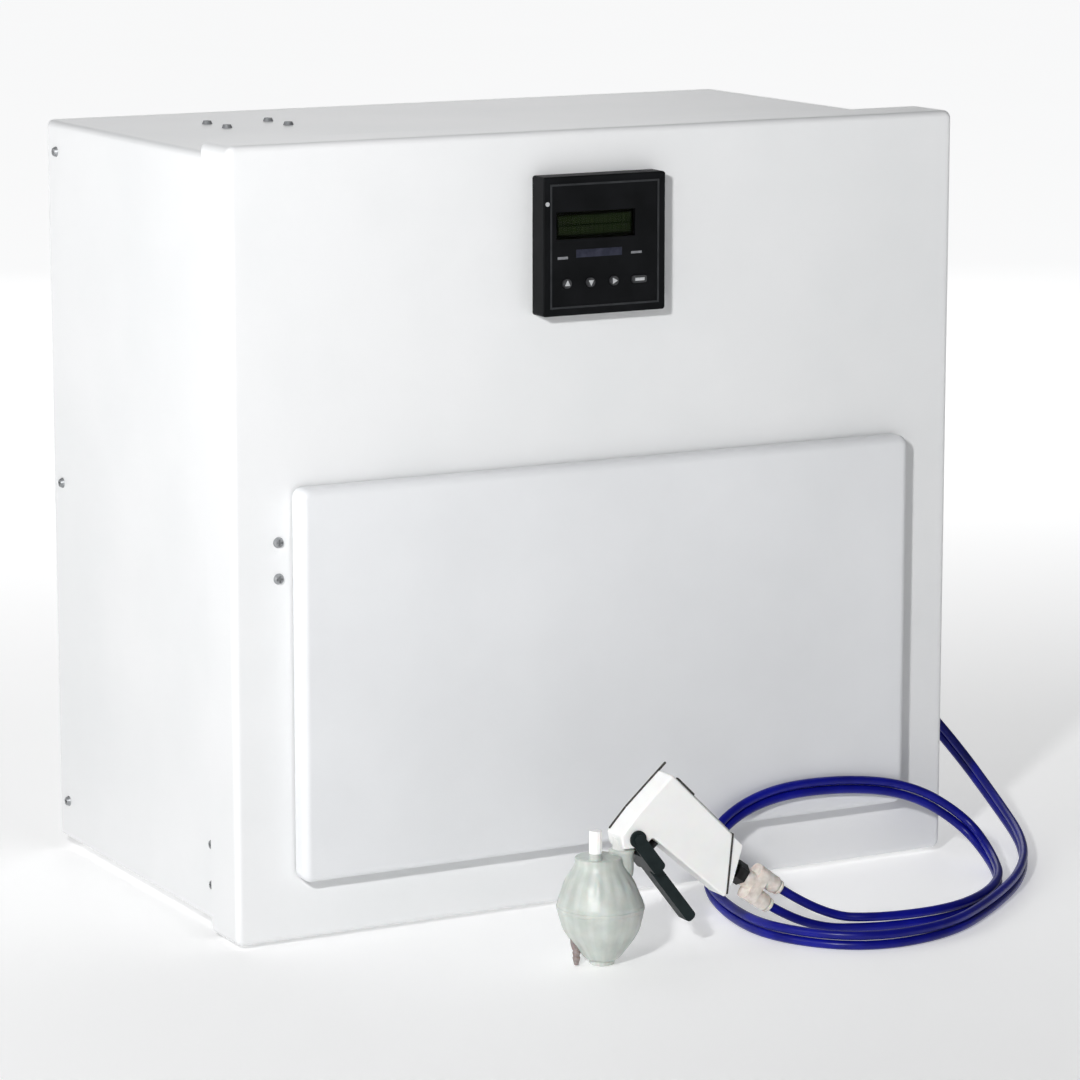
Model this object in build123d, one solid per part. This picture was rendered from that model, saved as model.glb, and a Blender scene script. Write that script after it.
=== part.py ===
"""Water polishing cabinet with a panel meter, a lift-off door and a remote dispensing gun.

Working frame, in millimetres: X to the right along the front, Y to the back, Z up. X is 0 at the
cabinet's middle, Y is 0 at the front panel's face, and Z is 0 at the bench. At export everything moves
by ORIGIN_SHIFT, so that the origin is under the middle of the whole object.
"""
from build123d import *
import math
import os

# Cabinet
PAN_W = 572.0
PAN_H = 546.0
PAN_RETURN = 42.0
PAN_EDGE_R = 4.5
PAN_CORNER_R = 6.0
CASE_DEPTH = 325.0
SHEET = 1.5
BENCH_GAP = 3.0
LIP_SIDE = 6.0
LIP_TOP = 8.0
WRAP_FRONT = 6.0
WRAP_BEND_R = 5.0
FLANGE = 15.0
WRAP_HALF = PAN_W / 2 - LIP_SIDE
WRAP_IN = WRAP_HALF - SHEET
WRAP_Z0 = BENCH_GAP + LIP_TOP
WRAP_Z1 = BENCH_GAP + PAN_H - LIP_TOP
TRAY_TOP = WRAP_Z0 + SHEET
TRAY_SIDE_H = 64.0
BACK_FLANGE = 25.0
SHELF_Z = 325.0

# Back: wall-hanging holes, mains inlet and switch
WALL_X = 200.0
WALL_Z = (120.0, 480.0)
WALL_HOLE_R = 3.5
INLET_X = 210.0
INLET_Z = 70.0
SWITCH_X = 165.0

# Door and its opening
DOOR_W = 485.0
DOOR_Z0 = 46.0
DOOR_Z1 = 318.0
DOOR_PROUD = 16.0
DOOR_GAP = 2.0
DOOR_EDGE_R = 5.5
DOOR_CORNER_R = 7.0
OPEN_HALF = 222.0
OPEN_Z0 = 66.0
OPEN_Z1 = 298.0

# The door's four hooks, each in a slot of the front panel beside the opening
HOOK_X = 232.0
HOOK_Z = (90.0, 205.0)
HOOK_SHEET = 1.5
HOOK_NECK = 12.0
HOOK_LIP = 11.0
HOOK_FLANGE = 13.0
SLOT_W = 4.0
DOOR_LIFT = 13.0

# Screws
SCREW_R = 2.0
SCREW_HEAD_R = 3.8
SCREW_HEAD_H = 2.4
SCREW_LEN = 9.0

# Panel meter, a 96 x 96 mm instrument
METER_X = -9.7
METER_Z = 470.8
METER_FACE = 96.0
METER_PROUD = 16.0
METER_CASE = 91.0
METER_CASE_DEPTH = 100.0
METER_WALL = 2.0
WINDOW_W = 62.0
WINDOW_H = 19.0
WINDOW_DX = -7.0
WINDOW_DZ = 14.0
KEY_DZ = -25.7
KEY_DX = {"key_up": -30.0, "key_down": -11.5, "key_right": 7.0, "key_enter": 27.0}
KEY_R = 3.2
KEY_WIDE = 11.0
KEY_CLEAR = 0.35

# Cartridges
CARTRIDGE_X = (-165.0, -55.0, 55.0, 165.0)
CARTRIDGE_Y = 75.0
CARTRIDGE_R = 44.0
CARTRIDGE_Z0 = 30.0
CARTRIDGE_Z1 = 268.0
NECK_R = 17.0
HEAD_Z0 = 284.0
SOCKET_DEPTH = 16.0
NECK_CLEAR = 0.08

# Pump
PUMP_X = 150.0
PUMP_Y = 120.0
PUMP_Z = 374.0
MOTOR_R = 38.0
SHAFT_R = 4.0
SHAFT_CLEAR = 0.06

# Ultraviolet lamp
UV_X0 = -225.0
UV_X1 = 92.0
UV_Y = 262.0
UV_Z = 362.0
UV_R = 32.0

# Fittings on the right side
PORT_Y = 186.0
PORT_Z = (94.0, 118.0)
SERVICE_Y = 240.0
FITTING_OUT = 22.0
TUBE_D = 6.35
TUBE_PITCH = 6.8
SERVICE_BORE_R = 4.8

# Dispensing gun: it stands on its capsule, with its middle plane parallel to the front
GUN_X = -81.0
GUN_Y = -141.0
GUN_HALF = 10.0
GUN_WALL = 2.2
CAPSULE_R = 29.3
CAPSULE_H = 75.0
INLET_DX = 15.0
VENT_DX = -9.0
VENT_DY = -7.0
DRAIN_DX = -18.0
DRAIN_DY = 3.0
OUTLET_R = 3.0
PIVOT_X = 21.5
PIVOT_Z = 86.0
PIN_HOLE_R = 2.0
LEVER_REST = 52.5
LEVER_LEN = 78.0
LEVER_IN = 10.4
LEVER_SHEET = 1.5
LEVER_WEB = 4.0
LEVER_FORK = 30.0
LEVER_HALF = 5.5
STEM_ANGLE = 43.5
STEM_ALONG = 18.0
STEM_R = 3.0
TAIL_ANGLE = 36.0
TAIL_X = 101.0
TAIL_Z = 54.0
LEG_PITCH = 14.0

# Where the origin goes: under the middle of everything but the free tubes
REACH_FRONT = GUN_Y - CAPSULE_R
REACH_BACK = CASE_DEPTH + 3.0
REACH_RIGHT = WRAP_HALF + FITTING_OUT
ORIGIN_SHIFT = (
    -(REACH_RIGHT - PAN_W / 2) / 2,
    -(REACH_FRONT + REACH_BACK) / 2,
    0.0,
)


def block(x0, x1, y0, y1, z0, z1):
    """A box between two corners."""
    size = Box(x1 - x0, y1 - y0, z1 - z0)
    return Pos((x0 + x1) / 2, (y0 + y1) / 2, (z0 + z1) / 2) * size


def rod(radius, start, end):
    """A round bar from one point to another."""
    start, end = Vector(*start), Vector(*end)
    plane = Plane(origin=start, z_dir=end - start)
    return plane * Cylinder(radius, (end - start).length, align=(Align.CENTER, Align.CENTER, Align.MIN))


def frustum(r0, r1, start, end):
    """A cone or tapered bar from one point to another."""
    start, end = Vector(*start), Vector(*end)
    plane = Plane(origin=start, z_dir=end - start)
    return plane * Cone(r0, r1, (end - start).length, align=(Align.CENTER, Align.CENTER, Align.MIN))


def front_slab(width, height, corner_r, x, z, y0, y1):
    """A slab with rounded corners, seen from the front, between two depths."""
    plane = Plane(origin=(x, y1, z), x_dir=(1, 0, 0), z_dir=(0, -1, 0))
    return extrude(plane * RectangleRounded(width, height, corner_r), y1 - y0)


def side_profile(points, y0, y1):
    """A flat outline in the X-Z plane, given thickness along Y."""
    outline = Polyline(*[(x, 0, z) for x, z in points], close=True)
    return extrude(Pos(0, y0, 0) * make_face(outline), amount=y1 - y0, dir=(0, 1, 0))


def add_all(shapes):
    """The union of several solids."""
    result = shapes[0]
    for shape in shapes[1:]:
        result = result + shape
    return result


def screw(at, into, length=SCREW_LEN):
    """A pan-head screw whose head sits on the point, with its shank going into the sheet."""
    at, into = Vector(*at), Vector(*into).normalized()
    head = frustum(SCREW_HEAD_R, SCREW_HEAD_R * 0.72, at, at - into * SCREW_HEAD_H)
    shank = rod(SCREW_R, at - into * 0.2, at + into * length)
    plane = Plane(origin=at - into * SCREW_HEAD_H, z_dir=into)
    cross = plane * (Pos(0, 0, 0.5) * (Box(4.4, 1.0, 1.6) + Box(1.0, 4.4, 1.6)))
    return head + shank - cross


def hole(at, into, radius=SCREW_R, length=12.0):
    """The cutter for a screw hole."""
    at, into = Vector(*at), Vector(*into).normalized()
    return rod(radius, at - into * 2, at + into * length)


# ---------------------------------------------------------------- cabinet

def wrap_solid(y0, y1, inset=0.0):
    """The wrap's outline as a solid, or the space inside it."""
    half, top = WRAP_HALF - inset, WRAP_Z1 - inset
    slab = block(-half, half, y0, y1, WRAP_Z0, top)
    edges = slab.edges().filter_by(Axis.Y).sort_by(Axis.Z)[-2:]
    return fillet(edges, WRAP_BEND_R - inset)


def side_screw_points(side):
    """Where the case screws go into one side of the wrap."""
    x = side * WRAP_HALF
    front = [(x, 51.6, 63.6), (x, 51.6, 34.8)]
    back = [(x, 310.0, 519.0), (x, 310.0, 277.0), (x, 310.0, 38.0)]
    return front + back


def top_screw_points():
    """The two pairs of screws that hold the power supply under the top."""
    return [(x, y, WRAP_Z1) for x in (-193.0, -145.0) for y in (204.0, 238.0)]


def cabinet_wrap():
    shell = wrap_solid(WRAP_FRONT, CASE_DEPTH) - wrap_solid(WRAP_FRONT - 1, CASE_DEPTH + 1, SHEET)
    shell = shell - block(-WRAP_IN, WRAP_IN, 0, CASE_DEPTH + 1, WRAP_Z0 - 1, WRAP_Z0 + 20)
    ring = wrap_solid(WRAP_FRONT, WRAP_FRONT + SHEET)
    ring = ring - block(-WRAP_HALF + FLANGE, WRAP_HALF - FLANGE, 0, 20, 0, WRAP_Z1 - FLANGE)
    shell = shell + ring
    for side in (-1, 1):
        for point in side_screw_points(side):
            shell = shell - hole(point, (-side, 0, 0))
    for point in top_screw_points():
        shell = shell - hole(point, (0, 0, -1))
    for y, z, radius in port_list():
        shell = shell - rod(radius - 2.0, (WRAP_IN - 5, y, z), (WRAP_HALF + 5, y, z))
    return shell


def base_tray():
    inner = WRAP_IN - SHEET
    front = WRAP_FRONT + SHEET
    side_end = CASE_DEPTH - SHEET - BACK_FLANGE - 1
    tray = block(-WRAP_IN, WRAP_IN, front, CASE_DEPTH, WRAP_Z0, TRAY_TOP)
    for side in (-1, 1):
        x0, x1 = sorted((side * inner, side * WRAP_IN))
        tray = tray + block(x0, x1, front, side_end, WRAP_Z0, WRAP_Z0 + TRAY_SIDE_H)
    tray = tray + block(-WRAP_IN, WRAP_IN, front, front + SHEET, WRAP_Z0, WRAP_Z0 + 20)
    back = CASE_DEPTH - SHEET
    tray = tray + block(-inner, inner, back - SHEET, back, WRAP_Z0, WRAP_Z0 + 20)
    for side in (-1, 1):
        for point in side_screw_points(side)[:2]:
            tray = tray - hole(point, (-side, 0, 0))
    return tray


def back_panel():
    back = CASE_DEPTH - SHEET
    plate = block(-WRAP_IN, WRAP_IN, back, CASE_DEPTH, TRAY_TOP, WRAP_Z1 - SHEET)
    corners = plate.edges().filter_by(Axis.Y).sort_by(Axis.Z)[-2:]
    plate = fillet(corners, WRAP_BEND_R - SHEET)
    inner = WRAP_IN - SHEET
    for side in (-1, 1):
        x0, x1 = sorted((side * inner, side * WRAP_IN))
        plate = plate + block(x0, x1, back - BACK_FLANGE, back, TRAY_TOP, WRAP_Z1 - 8)
        for point in side_screw_points(side)[2:]:
            plate = plate - hole(point, (-side, 0, 0))
        for z in WALL_Z:
            plate = plate - rod(WALL_HOLE_R, (side * WALL_X, back - 5, z), (side * WALL_X, back + 5, z))
    plate = plate - block(INLET_X - 14, INLET_X + 14, back - 5, back + 5, INLET_Z - 24, INLET_Z + 24)
    plate = plate - block(SWITCH_X - 10, SWITCH_X + 10, back - 5, back + 5, INLET_Z - 14, INLET_Z + 14)
    return plate


def catch_points():
    """The two screws left of the door, on the front panel's face."""
    return [(-252.2, 0.0, 281.0), (-252.2, 0.0, 256.0)]


def front_panel():
    mid_z = BENCH_GAP + PAN_H / 2
    outer = front_slab(PAN_W, PAN_H, PAN_CORNER_R, 0, mid_z, 0, PAN_RETURN)
    outer = fillet(outer.faces().sort_by(Axis.Y)[0].edges(), PAN_EDGE_R)
    width, height = PAN_W - 2 * SHEET, PAN_H - 2 * SHEET
    inner = front_slab(width, height, PAN_CORNER_R - SHEET, 0, mid_z, SHEET, PAN_RETURN + 1)
    inner = fillet(inner.faces().sort_by(Axis.Y)[0].edges(), PAN_EDGE_R - SHEET)
    pan = outer - inner
    pan = pan - block(-OPEN_HALF, OPEN_HALF, -5, 5, OPEN_Z0, OPEN_Z1)
    cut = METER_CASE / 2 + 0.5
    pan = pan - block(METER_X - cut, METER_X + cut, -5, 5, METER_Z - cut, METER_Z + cut)
    for point in catch_points():
        pan = pan - hole(point, (0, 1, 0))
    for x in (-HOOK_X, HOOK_X):
        for z in HOOK_Z:
            slot_top = z + HOOK_NECK + DOOR_LIFT + 1
            pan = pan - block(x - SLOT_W / 2, x + SLOT_W / 2, -5, 5, z - 0.4, slot_top)
    return pan


def panel_seal():
    """The foam frame that fills the gap between the front panel's return and the wrap."""
    mid_z = BENCH_GAP + PAN_H / 2
    width, height = PAN_W - 2 * SHEET, PAN_H - 2 * SHEET
    ring = front_slab(width, height, PAN_CORNER_R - SHEET, 0, mid_z, 14, 26)
    return ring - wrap_solid(10, 30)


def rubber_feet():
    feet = []
    for x in (-240.0, 240.0):
        for y in (64.0, 288.0):
            feet.append(frustum(11.0, 14.0, (x, y, 0), (x, y, WRAP_Z0)))
    return Compound(feet)


def case_screws():
    screws = [screw(p, (-side, 0, 0)) for side in (-1, 1) for p in side_screw_points(side)]
    return Compound(screws)


def bracket_screws():
    return Compound([screw(p, (0, 0, -1)) for p in top_screw_points()])


def equipment_shelf():
    """The shelf from wall to wall that carries the pump and holds the cartridge head."""
    y0, y1 = 40.0, CASE_DEPTH - SHEET - BACK_FLANGE - 1
    shelf = block(-WRAP_IN, WRAP_IN, y0, y1, SHELF_Z, SHELF_Z + 2)
    for side in (-1, 1):
        x0, x1 = sorted((side * (WRAP_IN - 2), side * WRAP_IN))
        shelf = shelf + block(x0, x1, y0, y1, SHELF_Z - 18, SHELF_Z)
    for x, y in ((-100.0, 150.0), (0.0, 150.0), (110.0, 190.0)):
        shelf = shelf - rod(5.0, (x, y, SHELF_Z - 5), (x, y, SHELF_Z + 5))
    return shelf


# ---------------------------------------------------------------- door

def door():
    mid_z = (DOOR_Z0 + DOOR_Z1) / 2
    height = DOOR_Z1 - DOOR_Z0
    outer = front_slab(DOOR_W, height, DOOR_CORNER_R, 0, mid_z, -DOOR_PROUD, -DOOR_GAP)
    outer = fillet(outer.faces().sort_by(Axis.Y)[0].edges(), DOOR_EDGE_R)
    inner = front_slab(
        DOOR_W - 2 * SHEET, height - 2 * SHEET, DOOR_CORNER_R - SHEET, 0, mid_z, SHEET - DOOR_PROUD, 5
    )
    inner = fillet(inner.faces().sort_by(Axis.Y)[0].edges(), DOOR_EDGE_R - SHEET)
    return outer - inner


def door_hooks():
    """Four bent hooks on the door's back: each reaches through its slot and down behind the sheet."""
    hooks = []
    back = SHEET - DOOR_PROUD
    for side in (-1, 1):
        for z in HOOK_Z:
            web_in, web_out = HOOK_X - HOOK_SHEET / 2, HOOK_X + HOOK_SHEET / 2
            parts = [
                (web_in, web_out, back, 4.5, z, z + HOOK_NECK),
                (web_in, web_out, 2.0, 4.5, z - HOOK_LIP, z + HOOK_NECK),
                (web_out - HOOK_FLANGE, web_out, back, back + HOOK_SHEET, z - HOOK_LIP, z + HOOK_NECK),
            ]
            boxes = []
            for x0, x1, y0, y1, z0, z1 in parts:
                left, right = sorted((side * x0, side * x1))
                boxes.append(block(left, right, y0, y1, z0, z1))
            hooks.append(add_all(boxes))
    return Compound(hooks)


def magnet_catch():
    """The catch behind the panel, with its magnet nose in the door opening."""
    z0, z1 = 248.0, 289.0
    body = block(-262.0, -204.0, SHEET, 14.0, z0, z1)
    nose = block(-219.0, -204.0, -1.5, SHEET, z0 + 4, z1 - 4)
    catch = body + nose
    for point in catch_points():
        catch = catch - hole(point, (0, 1, 0), length=9.0)
    return catch


def catch_screws():
    return Compound([screw(p, (0, 1, 0)) for p in catch_points()])


def strike_plate():
    """The door's steel plate that meets the magnet, on two legs."""
    face = block(-219.0, -204.0, -3.3, -1.8, 252.0, 285.0)
    legs = [block(-219.0, -204.0, SHEET - DOOR_PROUD, -3.3, z, z + 1.5) for z in (252.0, 283.5)]
    return add_all([face] + legs)


# ---------------------------------------------------------------- meter

def meter_block(width, height, y0, y1, dx=0.0, dz=0.0):
    """A box given by its size and its offset from the meter's middle."""
    x, z = METER_X + dx, METER_Z + dz
    return block(x - width / 2, x + width / 2, y0, y1, z - height / 2, z + height / 2)


def key_shape(name, y0, y1, grow=0.0):
    """A key, or with grow its hole: a round one, or the wide one on the right."""
    x, z = METER_X + KEY_DX[name], METER_Z + KEY_DZ
    if name == "key_enter":
        return front_slab(KEY_WIDE + 2 * grow, 5.0 + 2 * grow, 1.5 + grow, x, z, y0, y1)
    return rod(KEY_R + grow, (x, y0, z), (x, y1, z))


def meter_bezel():
    bezel = meter_block(METER_FACE, METER_FACE, -METER_PROUD, 0)
    bezel = fillet(bezel.edges().filter_by(Axis.Y), 2.0)
    bezel = fillet(bezel.faces().sort_by(Axis.Y)[0].edges(), 1.0)
    hollow = METER_FACE - 6
    bezel = bezel - meter_block(hollow, hollow, -METER_PROUD + 2.5, 1)
    bezel = bezel - meter_block(WINDOW_W, WINDOW_H, -20, 0, WINDOW_DX, WINDOW_DZ)
    for name in KEY_DX:
        bezel = bezel - key_shape(name, -20, 0, KEY_CLEAR)
    x, z = latch_point()
    return bezel - rod(1.5, (x, -20, z), (x, 0, z))


def latch_point():
    """The small latch screw at the bezel's upper left."""
    return METER_X - 45.0, METER_Z + 29.5


def meter_latch_screw():
    x, z = latch_point()
    pin = rod(1.5, (x, -METER_PROUD - 0.5, z), (x, -METER_PROUD + 2.5, z))
    return pin - block(x - 1.2, x + 1.2, -METER_PROUD - 1, -METER_PROUD, z - 0.25, z + 0.25)


def meter_window():
    return meter_block(WINDOW_W, WINDOW_H, -METER_PROUD + 0.8, -METER_PROUD + 2.5, WINDOW_DX, WINDOW_DZ)


def meter_display():
    return meter_block(WINDOW_W + 2, WINDOW_H + 4, -METER_PROUD + 2.5, -4.0, WINDOW_DX, WINDOW_DZ)


def meter_case():
    case = meter_block(METER_CASE, METER_CASE, 0, METER_CASE_DEPTH)
    inside = METER_CASE - 2 * METER_WALL
    case = case - meter_block(inside, inside, -1, METER_CASE_DEPTH - METER_WALL)
    for dz in (-25.0, 0.0, 25.0):
        case = case - meter_block(50, 3, METER_CASE_DEPTH - 5, METER_CASE_DEPTH + 5, 0, dz)
    return case


def meter_board():
    board = meter_block(84, 84, -4.0, -2.4)
    chips = [
        meter_block(30, 12, -2.4, 3.0, 0, 20),
        meter_block(14, 14, -2.4, 1.0, -20, -5),
        meter_block(60, 1.6, -2.4, 80.0, 0, -30),
    ]
    return add_all([board] + chips)


def meter_clamps():
    """The two side clamps that pull the meter against the panel."""
    clamps = []
    half = METER_CASE / 2
    for side in (-1, 1):
        x0, x1 = sorted((METER_X + side * half, METER_X + side * (half + 6)))
        clamp = block(x0, x1, SHEET, 60, METER_Z - 9, METER_Z + 9)
        clamps.append(clamp)
    return Compound(clamps)


# ---------------------------------------------------------------- water system

def cartridge(x):
    """One cartridge: body, shoulder, twist grip ribs and the neck that goes into the socket."""
    base = (x, CARTRIDGE_Y, CARTRIDGE_Z0)
    body = rod(CARTRIDGE_R, base, (x, CARTRIDGE_Y, CARTRIDGE_Z1 - 22))
    body = fillet(body.edges().sort_by(Axis.Z)[0], 6.0)
    shoulder = frustum(CARTRIDGE_R, 26, (x, CARTRIDGE_Y, CARTRIDGE_Z1 - 22), (x, CARTRIDGE_Y, CARTRIDGE_Z1))
    neck = rod(NECK_R, (x, CARTRIDGE_Y, CARTRIDGE_Z1), (x, CARTRIDGE_Y, HEAD_Z0 + SOCKET_DEPTH - 1))
    ribs = []
    for step in range(8):
        angle = step * 45
        rib = Pos(x, CARTRIDGE_Y, 0) * Rot(0, 0, angle) * block(40, 46, -4, 4, 46, 120)
        ribs.append(rib)
    shape = add_all([body, shoulder, neck] + ribs)
    return shape


def cartridge_head():
    """The head with four sockets, under the shelf."""
    head = block(-218, 218, 45, 105, HEAD_Z0 + 8, SHELF_Z)
    for x in CARTRIDGE_X:
        boss = rod(27, (x, CARTRIDGE_Y, HEAD_Z0), (x, CARTRIDGE_Y, HEAD_Z0 + 12))
        head = head + boss
    for x in CARTRIDGE_X:
        top = HEAD_Z0 + SOCKET_DEPTH
        head = head - rod(NECK_R + NECK_CLEAR, (x, CARTRIDGE_Y, HEAD_Z0 - 1), (x, CARTRIDGE_Y, top))
        head = head - rod(5, (x, CARTRIDGE_Y, top - 1), (x, CARTRIDGE_Y, top + 12))
    return head


def pump_head():
    body = rod(30, (PUMP_X - 92, PUMP_Y, PUMP_Z), (PUMP_X - 52, PUMP_Y, PUMP_Z))
    ports = [
        rod(8, (PUMP_X - 72, PUMP_Y, PUMP_Z), (PUMP_X - 72, PUMP_Y, PUMP_Z + 44)),
        rod(8, (PUMP_X - 72, PUMP_Y, PUMP_Z), (PUMP_X - 112, PUMP_Y, PUMP_Z)),
    ]
    foot = block(PUMP_X - 88, PUMP_X - 56, PUMP_Y - 24, PUMP_Y + 24, SHELF_Z + 2, PUMP_Z - 10)
    shape = add_all([body, foot] + ports)
    return shape - rod(SHAFT_R + 4, (PUMP_X - 70, PUMP_Y, PUMP_Z), (PUMP_X - 50, PUMP_Y, PUMP_Z))


def pump_motor():
    start, end = PUMP_X - 52, PUMP_X + 55
    body = rod(MOTOR_R, (start, PUMP_Y, PUMP_Z), (end, PUMP_Y, PUMP_Z))
    body = body - rod(MOTOR_R - 4, (end - 14, PUMP_Y, PUMP_Z), (end + 1, PUMP_Y, PUMP_Z))
    foot = block(start + 20, end - 20, PUMP_Y - 34, PUMP_Y + 34, SHELF_Z + 2, SHELF_Z + 16)
    shape = body + foot
    bore = SHAFT_R + SHAFT_CLEAR
    return shape - rod(bore, (start - 5, PUMP_Y, PUMP_Z), (end, PUMP_Y, PUMP_Z))


def pump_rotor():
    """Shaft, with the impeller hub at one end and the cooling fan at the other."""
    end = PUMP_X + 55
    shaft = rod(SHAFT_R, (PUMP_X - 64, PUMP_Y, PUMP_Z), (end - 3, PUMP_Y, PUMP_Z))
    hub = rod(9, (end - 12, PUMP_Y, PUMP_Z), (end - 3, PUMP_Y, PUMP_Z))
    blades = []
    for step in range(6):
        blade = block(end - 11, end - 4, 7, MOTOR_R - 7, -0.8, 0.8)
        blades.append(Pos(0, PUMP_Y, PUMP_Z) * Rot(step * 60, 0, 0) * blade)
    return add_all([shaft, hub] + blades)


def power_supply():
    top = WRAP_Z1 - SHEET
    box = block(-216, -122, 186, 256, top - 38, top)
    for point in top_screw_points():
        box = box - hole(point, (0, 0, -1), length=9.0)
    for step in range(7):
        x = -206 + step * 12
        box = box - block(x, x + 4, 185, 188, top - 30, top - 8)
    return box


def uv_housing():
    """The steel tube of the ultraviolet lamp, on two saddles."""
    tube = rod(UV_R, (UV_X0, UV_Y, UV_Z), (UV_X1, UV_Y, UV_Z))
    space = rod(UV_R - 2, (UV_X0 + 4, UV_Y, UV_Z), (UV_X1 - 4, UV_Y, UV_Z))
    caps = [
        rod(UV_R + 3, (UV_X0 - 8, UV_Y, UV_Z), (UV_X0, UV_Y, UV_Z)),
        rod(UV_R + 3, (UV_X1, UV_Y, UV_Z), (UV_X1 + 8, UV_Y, UV_Z)),
    ]
    ports = [
        rod(8, (x, UV_Y, UV_Z), (x, UV_Y - UV_R - 14, UV_Z)) for x in (UV_X0 + 30, UV_X1 - 30)
    ]
    saddles = [
        block(x - 8, x + 8, UV_Y - 24, UV_Y + 24, SHELF_Z + 2, UV_Z - 20) for x in (UV_X0 + 60, UV_X1 - 60)
    ]
    return add_all([tube] + caps + ports + saddles) - space


def solenoid_valve():
    x, y, z = -205.0, 130.0, SHELF_Z + 2
    body = block(x - 16, x + 16, y - 16, y + 16, z, z + 26)
    coil = block(x - 15, x + 15, y - 19, y + 19, z + 26, z + 64)
    coil = fillet(coil.edges().filter_by(Axis.Z), 3.0)
    stud = rod(6, (x, y, z + 64), (x, y, z + 70))
    return add_all([body, coil, stud])


def resistivity_cell():
    x, y, z = 232.0, 150.0, SHELF_Z + 2
    body = block(x - 14, x + 14, y - 20, y + 20, z, z + 28)
    probe = rod(7, (x, y, z + 28), (x, y, z + 66))
    return add_all([body, probe, rod(10, (x, y, z + 28), (x, y, z + 38))])


def port_list():
    """The right side's fittings as (y, z, body radius)."""
    outlets = [(PORT_Y, z, 9.0) for z in PORT_Z]
    service = [(SERVICE_Y, z, 11.0) for z in PORT_Z]
    return outlets + service


def bulkhead(y, z, body_r, bore_r):
    """A push-in fitting through the right side, with its nut and collet."""
    x = WRAP_HALF
    hexagon = Plane(origin=(x, y, z), z_dir=(1, 0, 0)) * RegularPolygon(body_r + 1.2, 6)
    outside = extrude(hexagon, 7) + rod(body_r, (x + 7, y, z), (x + FITTING_OUT - 3, y, z))
    collet = rod(body_r - 2.2, (x, y, z), (x + FITTING_OUT, y, z))
    neck = rod(body_r - 2.0, (WRAP_IN - 12, y, z), (x, y, z))
    nut = extrude(Pos(-SHEET - 5, 0, 0) * hexagon, 5)
    shape = add_all([outside, collet, neck, nut])
    return shape - rod(bore_r, (x + FITTING_OUT - 16, y, z), (x + FITTING_OUT + 1, y, z))


def outlet_fittings():
    return Compound([bulkhead(PORT_Y, z, 9.0, TUBE_D / 2) for z in PORT_Z])


def service_fittings():
    return Compound([bulkhead(SERVICE_Y, z, 11.0, SERVICE_BORE_R) for z in PORT_Z])


def pipe(points, bend=14.0, radius=3.2):
    """A bent pipe of constant size through the points."""
    path = FilletPolyline(*points, radius=bend)
    return sweep(Plane(origin=path @ 0, z_dir=path % 0) * Circle(radius), path)


def inner_pipes():
    """The four pipes that can be seen once the cabinet is open."""
    low = PORT_Z[0]
    feed = pipe([(WRAP_IN - 12, SERVICE_Y, low), (232, SERVICE_Y, low), (232, 190, low), (232, 190, 306),
                 (110, 190, 306), (110, 190, SHELF_Z + 22)])
    to_pump = pipe([(PUMP_X - 112, PUMP_Y, PUMP_Z), (0, PUMP_Y, PUMP_Z), (0, 150, PUMP_Z),
                    (0, 150, 300)])
    to_lamp = pipe([(PUMP_X - 72, PUMP_Y, PUMP_Z + 44), (PUMP_X - 72, PUMP_Y, PUMP_Z + 70),
                    (62, 200, PUMP_Z + 70), (62, 200, UV_Z), (62, 216, UV_Z)], bend=7.0)
    outlet = pipe([(WRAP_IN - 12, PORT_Y, low), (248, PORT_Y, low), (248, 150, low), (248, 150, 300)])
    return Compound([feed, to_pump, to_lamp, outlet])


def power_inlet():
    """The three-pin mains inlet on the back."""
    back = CASE_DEPTH
    flange = block(INLET_X - 17, INLET_X + 17, back, back + 3, INLET_Z - 28, INLET_Z + 28)
    body = block(INLET_X - 14, INLET_X + 14, back - 22, back, INLET_Z - 24, INLET_Z + 24)
    shape = flange + body
    shape = shape - block(INLET_X - 8.2, INLET_X + 8.2, back - 16, back + 5, INLET_Z - 12.2, INLET_Z + 12.2)
    for dx, dz in ((0, 0), (3.5, 7), (3.5, -7)):
        x, z = INLET_X - 2 + dx, INLET_Z + dz
        shape = shape + block(x - 1, x + 1, back - 17, back - 2, z - 2, z + 2)
    return shape


def switch_frame():
    back = CASE_DEPTH
    flange = block(SWITCH_X - 12, SWITCH_X + 12, back, back + 2, INLET_Z - 16, INLET_Z + 16)
    body = block(SWITCH_X - 10, SWITCH_X + 10, back - 18, back, INLET_Z - 14, INLET_Z + 14)
    shape = flange + body
    return shape - block(SWITCH_X - 8, SWITCH_X + 8, back - 9, back + 5, INLET_Z - 12, INLET_Z + 12)


def rocker_switch():
    """The rocker: a shallow V across its pivot, which lies along X."""
    back = CASE_DEPTH
    points = [(-11.0, 3.0), (0.0, 1.0), (11.0, 0.35), (10.0, -3.0), (0.0, -4.5), (-10.0, -2.0)]
    outline = Polyline(*[(0, back + y, INLET_Z + z) for z, y in points], close=True)
    return extrude(Pos(SWITCH_X - 7.6, 0, 0) * make_face(outline), amount=15.2, dir=(1, 0, 0))


# ---------------------------------------------------------------- dispensing gun

def at_gun(x, z, y=0.0):
    """A point of the gun, from its capsule's foot, as a point of the working frame."""
    return (GUN_X + x, GUN_Y + y, z)


def gun_outline():
    """The gun body's side view: nose, apex, sloping back and handle."""
    nose = [(11.0, 79.5), (9.0, 89.0), (23.0, 104.0)]
    top = [(49.0, 127.0), (96.5, 80.0)]
    handle = [(92.0, 35.2), (34.0, 85.0), (26.0, 79.5)]
    return [(GUN_X + x, z) for x, z in nose + top + handle]


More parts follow.
